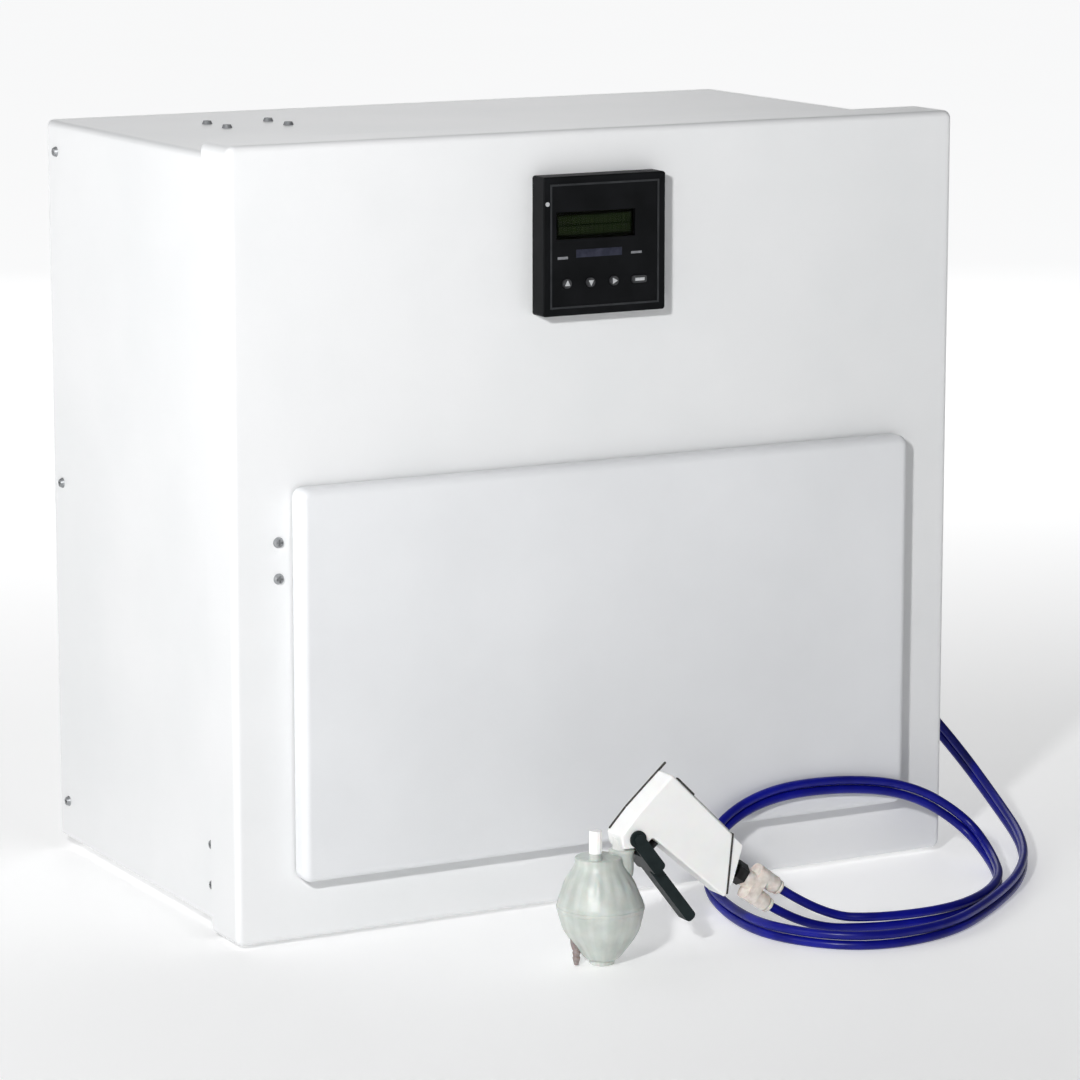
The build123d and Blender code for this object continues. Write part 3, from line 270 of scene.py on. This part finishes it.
# Nodes whose look differs a little from the rest of their slot.
SPECIAL = {"meter_latch_screw": "mark_light", "gun_lever_pin": "lever_black"}

for node_name, node in NODES.items():
    for place in node.material_slots:
        place.material = MATERIALS[SPECIAL.get(node_name, place.material.name.split(".")[0])]


# ---------------------------------------------------------------- helpers for pieces

def dress(piece, slot, body="cabinet", smooth=True, material=None):
    """Links a piece, gives it a finish, and lets it ride on a body.

    The finish is the slot's own unless material names another."""
    bpy.context.scene.collection.objects.link(piece)
    piece.data.materials.append(MATERIALS[material or slot])
    if piece.type == "MESH":
        piece.data.shade_smooth() if smooth else piece.data.shade_flat()
    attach(piece, body)
    return piece


def from_bmesh(name, mesh):
    """A new object made from a bmesh, which is freed."""
    data = bpy.data.meshes.new(name)
    mesh.to_mesh(data)
    mesh.free()
    return bpy.data.objects.new(name, data)


def split_edges(piece, degrees):
    """Keeps a smooth piece crisp at the edges that turn by more than an angle."""
    piece.modifiers.new("edges", "EDGE_SPLIT").split_angle = math.radians(degrees)


# ---------------------------------------------------------------- the two blue tubes

TUBE_D = 6.35
TUBE_PITCH = 6.8

# The gun's Y fitting: where its axis starts, its slope, its legs' spacing, and how far along its
# axis the tubes start.
TAIL = Vector((20.0, GUN.y, 54.0))
TAIL_SLOPE = math.radians(36)
TAIL_AXIS = Vector((math.cos(TAIL_SLOPE), 0, -math.sin(TAIL_SLOPE)))
TAIL_UP = Vector((math.sin(TAIL_SLOPE), 0, math.cos(TAIL_SLOPE)))
LEG_PITCH = 14.0
LEG_SOCKET = 32.0

# The fittings on the cabinet's right side: their outer end, their Y, and the Z of both.
FITTING_X = 302.0
PORT_Y = 186.0
PORT_Z = (94.0, 118.0)

# Where a tube ends inside its fitting, and where it turns after leaving it.
PORT_END_X = 290.0
PORT_TURN_X = 338.0

# The lower tube's loop, from the bench right of the gun to the corner below the cabinet's fitting.
LOOP = [
    (130.0, -166.0, 3.2),
    (195.0, -166.0, 3.2),
    (256.0, -124.0, 3.2),
    (292.0, -60.0, 4.0),
    (288.0, -24.0, 26.0),
    (244.0, -20.5, 54.0),
    (184.0, -20.0, 65.0),
    (120.0, -20.0, 64.0),
    (76.0, -24.0, 44.0),
    (60.0, -38.0, 12.0),
    (50.0, -84.0, 3.2),
    (46.0, -150.0, 3.2),
    (88.0, -204.0, 3.2),
    (158.0, -203.0, 3.2),
    (224.0, -160.0, 3.2),
    (286.0, -106.0, 3.2),
    (334.0, -40.0, 5.0),
    (358.0, 34.0, 19.0),
    (364.0, 100.0, 48.0),
    (354.0, 154.0, 82.0),
]


def beside(points, pitch):
    """The same route for the tube that lies on top, one pitch away square to the run."""
    moved = []
    ends = [points[0]] + points + [points[-1]]
    for before, here, after in zip(ends, points, ends[2:]):
        run = (Vector(after) - Vector(before)).normalized()
        up = (Vector((0, 0, 1)) - run * run.z).normalized()
        moved.append(tuple(Vector(here) + up * pitch))
    return moved


def tube_route(upper):
    """The points of one tube, from the cabinet's fitting to the gun's fitting."""
    across = LEG_PITCH / 2 if upper else -LEG_PITCH / 2
    loop = beside(LOOP, TUBE_PITCH) if upper else LOOP
    start = TAIL + TAIL_AXIS * LEG_SOCKET + TAIL_UP * across
    bench = loop[0][2]
    landing = (start.x + (start.z - bench) / math.tan(TAIL_SLOPE), TAIL.y, bench)
    port = PORT_Z[1] if upper else PORT_Z[0]
    turn = (PORT_TURN_X, PORT_Y, port)
    end = (PORT_END_X, PORT_Y, port)
    return [end, turn] + loop[::-1] + [landing, tuple(start)]


def tube(name, upper):
    """One tube as a cord that stands for its CAD node."""
    curve = bpy.data.curves.new(name, "CURVE")
    curve.dimensions = "3D"
    curve.resolution_u = 16
    curve.bevel_depth = TUBE_D / 2 * MM
    curve.bevel_resolution = 6
    curve.use_fill_caps = True
    points = tube_route(upper)
    spline = curve.splines.new("NURBS")
    spline.points.add(len(points) - 1)
    for control, point in zip(spline.points, points):
        control.co = (*at(*point), 1)
    spline.order_u = 3
    spline.use_endpoint_u = True
    piece = dress(bpy.data.objects.new(name, curve), "tube_blue")
    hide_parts("product_tube" if upper else "return_tube")


tube("tube_to_gun", True)
tube("tube_from_gun", False)


# ---------------------------------------------------------------- filter capsule

def rounded(points, share=0.3, steps=4):
    """An outline whose inner corners are eased with short curves."""
    eased = [points[0]]
    for before, here, after in zip(points, points[1:], points[2:]):
        here = Vector(here)
        start = here.lerp(Vector(before), share)
        end = here.lerp(Vector(after), share)
        for step in range(steps + 1):
            t = step / steps
            eased.append(tuple(start.lerp(here, t).lerp(here.lerp(end, t), t)))
    return eased + [points[-1]]


# The height at which a leaning piece starts to lean, and how far above that its lean is reached.
LEAN_START = 15
LEAN_RISE = 60


def lathe(name, outline, slot, foot, sides=96, ribs=None, material=None, lean=0.0):
    """A turned closed piece about an upright axis, from its outline of (radius, height).

    ribs(z) gives the height of PLEATS upright ribs. lean is how far the top sits to one side."""
    mesh = bmesh.new()
    rings = []
    for radius, z in rounded(outline):
        if radius < 1e-6:
            rings.append([mesh.verts.new(at(*(Vector(foot) + Vector((0, 0, z)))))])
            continue
        ring = []
        for step in range(sides):
            angle = 2 * math.pi * step / sides
            reach = radius + (ribs(z) * math.cos(PLEATS * angle) if ribs else 0)
            tilt = lean * max(0.0, z - LEAN_START) / LEAN_RISE
            offset = Vector((reach * math.cos(angle) + tilt, reach * math.sin(angle), z))
            ring.append(mesh.verts.new(at(*(Vector(foot) + offset))))
        rings.append(ring)
    pairs = list(zip(rings, rings[1:]))
    if len(rings[0]) > 1 or len(rings[-1]) > 1:
        pairs.append((rings[-1], rings[0]))
    for low, high in pairs:
        for step in range(sides):
            after = (step + 1) % sides
            if len(low) == 1:
                mesh.faces.new((low[0], high[after], high[step]))
            elif len(high) == 1:
                mesh.faces.new((low[step], low[after], high[0]))
            else:
                mesh.faces.new((low[step], low[after], high[after], high[step]))
    bmesh.ops.recalc_face_normals(mesh, faces=mesh.faces)
    piece = dress(from_bmesh(name, mesh), slot, material=material)
    split_edges(piece, 40)
    return piece


# Where the capsule's ports stand, from its foot.
COLLAR = Vector((15, 0, 0))
VENT = Vector((-9, -7, 0))
DRAIN = Vector((-18, 3, 0))
CAPSULE_LEAN = -3.0
RIB_HEIGHT = 0.42


def rib_height(z):
    """The height of the capsule's ribs, highest at the middle of each cone."""
    upper = max(0.0, 1 - abs(z - 57) / 9)
    lower = max(0.0, 1 - abs(z - 20) / 13)
    return RIB_HEIGHT * max(upper, lower)


def capsule():
    """The filter capsule: ribbed cones, a welded belly band, foot, top plate, ports and drain."""
    outer = [(0, 75), (13.6, 75), (16.0, 74.3), (16.0, 70.5), (17.2, 67.5), (23.2, 58), (27.9, 46.5),
             (29.2, 43.2), (29.2, 41.2), (29.9, 40.8), (29.9, 38.6), (29.2, 38.2), (29.2, 36),
             (26.2, 25), (20, 15.4), (12.2, 4.6), (8.6, 3.6), (8.6, 0), (3.0, 0)]
    inner = [(3.0, 6.5), (8.2, 7.5), (24.0, 27), (27.2, 37), (27.2, 43), (21.2, 57), (14.4, 68),
             (14.4, 72), (0, 72)]
    body = lathe("capsule_body", outer + inner, "capsule_frosted", GUN, ribs=rib_height,
                 lean=CAPSULE_LEAN)
    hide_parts("capsule_shell")
    collar = [(0, 58), (8.2, 58), (8.2, 75.4), (8.8, 75.8), (8.8, 77.2), (8.2, 77.6), (7.2, 78.2),
              (0, 78.2)]
    lathe("capsule_inlet_collar", collar, "capsule_frosted", GUN + COLLAR, sides=48)
    port = [(0, 72.5), (4.6, 72.5), (4.6, 75.6), (4.2, 76), (4.2, 78.2), (3.8, 79), (0, 79)]
    lathe("capsule_vent_port", port, "capsule_frosted", GUN + VENT, sides=48)
    barb = [(0, 21), (4.4, 21), (4.0, 15), (3.0, 11.5), (2.3, 10.4), (2.9, 9.4), (2.1, 6.6),
            (2.8, 5.8), (2.0, 2.6), (1.6, 0.7), (1.0, 0.6), (0, 0.6)]
    lathe("capsule_drain", barb, "fitting_natural", GUN + DRAIN, sides=32, material="drain_pink")


capsule()


# ---------------------------------------------------------------- trim and painted shade on the gun, and trim on its fitting

def slab(name, corners, y0, y1, slot, body="cabinet", bevel=0.3, material=None):
    """A flat closed piece: an outline in the XZ plane between two Y values, with eased edges."""
    mesh = bmesh.new()
    front = [mesh.verts.new(at(x, y0, z)) for x, z in corners]
    back = [mesh.verts.new(at(x, y1, z)) for x, z in corners]
    mesh.faces.new(front)
    mesh.faces.new(list(reversed(back)))
    for step in range(len(corners)):
        after = (step + 1) % len(corners)
        mesh.faces.new((front[after], front[step], back[step], back[after]))
    bmesh.ops.recalc_face_normals(mesh, faces=mesh.faces)
    if bevel:
        bmesh.ops.bevel(mesh, geom=mesh.edges, offset=bevel * MM, segments=2, affect="EDGES")
    return dress(from_bmesh(name, mesh), slot, body, smooth=False, material=material)


def strip(start, end, thick, sink=0.6):
    """The outline of a bar that lies along a line in the gun's plane, sunk a little below it."""
    start, end = Vector(start), Vector(end)
    run = (end - start).normalized()
    up = Vector((-run.y, run.x))
    low, high = up * -sink, up * thick
    corners = (start + low, end + low, end + high, start + high)
    return [tuple(corner + Vector((GUN.x, GUN.z))) for corner in corners]


# Points of the gun's outline, from its capsule's foot: up the nose to the tip, then down the back.
NOSE_LINE = [(10.4, 90.6), (23.0, 104.0), (54.0, 131.4)]
SLOT_TOP, SLOT_END, SEAM_END = (53.0, 123.04), (66.0, 110.18), (94.0, 82.47)
TAIL_JOINT = [(97.2, 80.6), (95.9, 80.9), (91.6, 38.6), (92.9, 38.3)]
GASKET_PROUD = 0.3


def gun_trim_and_painted_shade():
    """Dark strips of painted shade along the nose's far edge and in the slot on its back, a light seam
    on its back, and the gasket at its tail.
    """
    far = GUN.y + GUN_HALF
    near = GUN.y - GUN_HALF
    # Two dark strips along the nose's far edge: painted shade where that edge lies in shadow.
    for label, start, end in zip(("low", "high"), NOSE_LINE, NOSE_LINE[1:]):
        slab("gun_nose_shade_strip_" + label, strip(start, end, 0.9), far - 2.2, far - 0.8, "nut_black",
             material="seam_dark")
    # A dark strip on the back: painted shade in the slot there.
    slab("gun_back_slot_shade", strip(SLOT_TOP, SLOT_END, 1.6), near + 1.2, near + 4.2, "nut_black",
         material="seam_dark")
    slab("gun_back_seam", strip(SLOT_END, SEAM_END, 0.7), near + 1.6, near + 3.0, "nut_black",
         bevel=0.2, material="seam_light")
    slab("gun_tail_gasket", [(GUN.x + x, z) for x, z in TAIL_JOINT], near - GASKET_PROUD,
         far + GASKET_PROUD, "nut_black", material="seam_dark")


gun_trim_and_painted_shade()


def ring_along(name, start, axis, outline, slot, sides=40, material=None):
    """A turned closed ring about any axis, from its outline of (distance along it, radius)."""
    axis = Vector(axis).normalized()
    across = axis.orthogonal().normalized()
    other = axis.cross(across)
    mesh = bmesh.new()
    rings = []
    for along, radius in outline:
        ring = []
        for step in range(sides):
            angle = 2 * math.pi * step / sides
            spoke = across * math.cos(angle) + other * math.sin(angle)
            ring.append(mesh.verts.new(at(*(Vector(start) + axis * along + spoke * radius))))
        rings.append(ring)
    for low, high in zip(rings, rings[1:] + rings[:1]):
        for step in range(sides):
            after = (step + 1) % sides
            mesh.faces.new((low[step], low[after], high[after], high[step]))
    bmesh.ops.recalc_face_normals(mesh, faces=mesh.faces)
    split_edges(dress(from_bmesh(name, mesh), slot, material=material), 35)


# Where the release rings start: along a leg of the Y fitting, and inside a port's outer end.
LEG_COLLET = 38.6
PORT_COLLET_X = FITTING_X - 2.6
COLLET_GAP = 0.15


def collets():
    """The release rings of the push-in fittings, on the Y fitting's legs and the cabinet's side."""
    bore = TUBE_D / 2 + COLLET_GAP
    ring = [(0, bore), (0, 4.0), (2.0, 4.0), (2.4, 5.4), (3.6, 5.4), (4.0, 5.0), (4.0, bore)]
    for label, across in (("upper", LEG_PITCH / 2), ("lower", -LEG_PITCH / 2)):
        start = TAIL + TAIL_AXIS * LEG_COLLET + TAIL_UP * across
        ring_along("wye_collet_" + label, start, TAIL_AXIS, ring, "fitting_natural")
    for label, z in zip(("lower", "upper"), PORT_Z):
        ring_along("port_collet_" + label, (PORT_COLLET_X, PORT_Y, z), (1, 0, 0), ring,
                   "fitting_white", material="head_blue")


collets()


# ---------------------------------------------------------------- panel meter

# A mark stands proud of its surface and is sunk into it, in millimetres.
MARK_PROUD = 0.12
MARK_SUNK = 0.3


def plate(name, dx, dz, width, height, y0, y1, slot, body="cabinet", bevel=0.15, material=None):
    """A thin rectangular plate on the meter's face, placed from the face's middle."""
    x, z = METER.x + dx, METER.z + dz
    w, h = width / 2, height / 2
    corners = [(x - w, z - h), (x + w, z - h), (x + w, z + h), (x - w, z + h)]
    return slab(name, corners, y0, y1, slot, body, bevel, material)


DISPLAY_COLUMNS, DISPLAY_ROWS = 16, 2
DISPLAY_W, DISPLAY_H = 57.0, 14.0
DISPLAY_DX, DISPLAY_DZ = -7.0, 14.0
CELL_W, CELL_H = 2.8, 5.8
CELL_FRONT, CELL_BACK = -13.55, -13.3
RAIL_MIDDLE, RAIL_WIDTH = 42.2, 1.4
RAIL_PROUD, RAIL_SUNK = 0.5, 0.4


def display_cells():
    """The faint cells of the unlit display, without characters."""
    for row in range(DISPLAY_ROWS):
        for column in range(DISPLAY_COLUMNS):
            dx = DISPLAY_DX + (column - (DISPLAY_COLUMNS - 1) / 2) * DISPLAY_W / DISPLAY_COLUMNS
            dz = DISPLAY_DZ + (row - 0.5) * DISPLAY_H / DISPLAY_ROWS
            plate(f"display_cell_{row}_{column}", dx, dz, CELL_W, CELL_H, CELL_FRONT, CELL_BACK,
                  "display_green", bevel=0, material="mark_green")


def meter():
    """What stands on the meter's face: two short marks, a blank nameplate and a thin raised frame."""
    display_cells()
    marks = {"left": (-33.0, -8.0, 8.0, 1.8), "right": (25.0, -7.0, 8.5, 1.6)}
    for label, (dx, dz, width, height) in marks.items():
        plate("meter_mark_" + label, dx, dz, width, height, METER_FACE - MARK_PROUD,
              METER_FACE + MARK_SUNK, "key_grey", bevel=0.05, material="mark_dim")
    plate("meter_nameplate", -4.5, -5.5, 36.0, 5.5, METER_FACE - 0.2, METER_FACE + MARK_SUNK,
          "key_grey", bevel=0.08, material="mark_slate")
    upright, level = (RAIL_WIDTH, 85.8), (83.0, RAIL_WIDTH)
    rails = {"0": (-RAIL_MIDDLE, 0, *upright), "2": (RAIL_MIDDLE, 0, *upright),
             "low": (0, -RAIL_MIDDLE, *level), "high": (0, RAIL_MIDDLE, *level)}
    for label, (dx, dz, width, height) in rails.items():
        plate("meter_rail_" + label, dx, dz, width, height, METER_FACE - RAIL_PROUD,
              METER_FACE + RAIL_SUNK, "meter_black", material="meter_edge")


meter()

# The keys' tops, their height on the meter's face, and each arrow's place and direction in degrees.
KEY_FACE = METER_FACE - 1.62
KEY_DZ = -25.7
ARROW_REACH = 2.5
ARROWS = {"key_up": (-30.0, 90), "key_down": (-11.5, -90), "key_right": (7.0, 0)}
ARROW_CORNERS = (0, 125, 235)


def key_marks():
    """A generic arrow on each small key, and a bar on the wide one."""
    front, sunk = KEY_FACE - MARK_PROUD, KEY_FACE + MARK_SUNK
    for key, (dx, turn) in ARROWS.items():
        corners = []
        for corner in ARROW_CORNERS:
            angle = math.radians(corner + turn)
            corners.append((METER.x + dx + ARROW_REACH * math.cos(angle),
                            METER.z + KEY_DZ + ARROW_REACH * math.sin(angle)))
        slab(key + "_arrow", corners, front, sunk, "key_grey", key, bevel=0.05,
             material="mark_light")
    plate("key_enter_bar", 27.0, KEY_DZ, 7.2, 2.0, front, sunk, "key_grey", "key_enter",
          bevel=0.05, material="mark_light")


key_marks()


# ---------------------------------------------------------------- stage, light and camera

# The floor's side, and its height just under the bench line, in metres.
FLOOR_SIZE = 80.0
FLOOR_Z = -0.0002

# Each lamp's place, the point it shines at, and its size, in metres, and its power in watts.
LAMPS = {
    "key": ((-1.385, -1.53, 1.08), (0, 0, 0.25), 0.15, 30.5),
    "side_light": ((-2.3, -0.2, 1.0), (-0.1, 0, 0.3), 0.9, 12),
    "back_light": ((1.2, 2.6, 1.6), (0, 0.1, 0.3), 2.0, 16),
}

# The surround's grey near the horizon and overhead, and how high it turns from one to the other.
SKY_LOW, SKY_HIGH = (0.10, 0.102, 0.105), (0.12, 0.123, 0.127)
SKY_TURN = 0.6

# The camera looks down and to the right by these angles, in degrees. Its lens is in millimetres.
CAMERA_PLACE = (-1.50215, -2.72864, 0.82786)
CAMERA_DOWN = 10.57
CAMERA_RIGHT = 28.561
CAMERA_LENS = 147.28
CAMERA_SENSOR = 36
CAMERA_FAR = 100


def floor():
    """The pale floor."""
    half = FLOOR_SIZE / 2
    corners = [(-half, -half, FLOOR_Z), (half, -half, FLOOR_Z),
               (half, half, FLOOR_Z), (-half, half, FLOOR_Z)]
    mesh = bpy.data.meshes.new("floor")
    mesh.from_pydata(corners, [], [(0, 1, 2, 3)])
    piece = bpy.data.objects.new("floor", mesh)
    bpy.context.scene.collection.objects.link(piece)
    mesh.materials.append(MATERIALS["stage_pale"])


def lamp(name, place, aim, size, watts):
    """A round area light that faces a point."""
    data = bpy.data.lights.new(name, "AREA")
    data.shape = "DISK"
    data.size = size
    data.energy = watts
    light = bpy.data.objects.new(name, data)
    light.location = place
    light.rotation_euler = (Vector(aim) - Vector(place)).to_track_quat("-Z", "Y").to_euler()
    bpy.context.scene.collection.objects.link(light)


def studio_world():
    """A dim and nearly even grey surround."""
    world = bpy.data.worlds.new("studio")
    world.use_nodes = True
    tree = world.node_tree
    coords = tree.nodes.new("ShaderNodeTexCoord").outputs["Generated"]
    split = tree.nodes.new("ShaderNodeSeparateXYZ")
    tree.links.new(coords, split.inputs["Vector"])
    sky = ramp(tree, split.outputs["Z"], SKY_LOW, SKY_HIGH, 0.0, SKY_TURN)
    tree.links.new(sky, tree.nodes["Background"].inputs["Color"])
    return world


def view():
    """The camera, at the photograph's viewing angle."""
    data = bpy.data.cameras.new("camera")
    data.sensor_width = CAMERA_SENSOR
    data.lens = CAMERA_LENS
    data.clip_end = CAMERA_FAR
    camera = bpy.data.objects.new("camera", data)
    camera.location = CAMERA_PLACE
    camera.rotation_euler = (math.radians(90 - CAMERA_DOWN), 0, math.radians(-CAMERA_RIGHT))
    bpy.context.scene.collection.objects.link(camera)
    return camera


floor()
for lamp_name, settings in LAMPS.items():
    lamp(lamp_name, *settings)

scene = bpy.context.scene
scene.world = studio_world()
scene.view_settings.view_transform = "Standard"
scene.view_settings.look = "None"
scene.camera = view()
